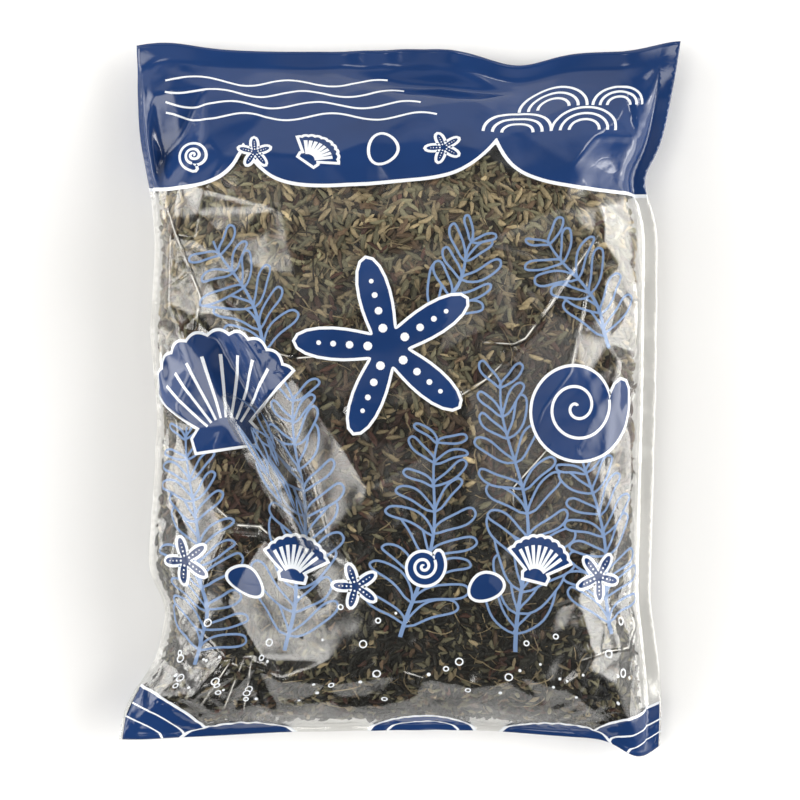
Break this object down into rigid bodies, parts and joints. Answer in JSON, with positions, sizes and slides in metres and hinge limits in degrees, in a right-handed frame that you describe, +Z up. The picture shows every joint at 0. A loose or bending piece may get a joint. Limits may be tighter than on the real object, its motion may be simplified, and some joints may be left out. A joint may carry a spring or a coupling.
{
  "type": "filled food pouch of dried hijiki seaweed",
  "caption": "Clear printed pillow pouch with sealed edges, packed with small dried seaweed leaves, lying flat on its back.",
  "frame": {"origin": "on the surface that the pouch lies on, under the middle of its bounding box", "axes": "+Z up out of the printed front, +Y towards the top edge with the coloured header, +X to the right when looking at the front"},
  "size_m": [0.2916, 0.3732, 0.0621],
  "materials": {
    "front_film": "clear glossy film with deep blue and white print",
    "back_film": "clear glossy film",
    "brown_seaweed": "dull, wrinkled and dry",
    "black_seaweed": "dull, wrinkled and dry"
  },
  "bodies": {
    "root": {"film_front": "front_film", "film_back": "back_film", "hijiki_upper": "brown_seaweed", "hijiki_lower": "black_seaweed"}
  },
  "joints": []
}
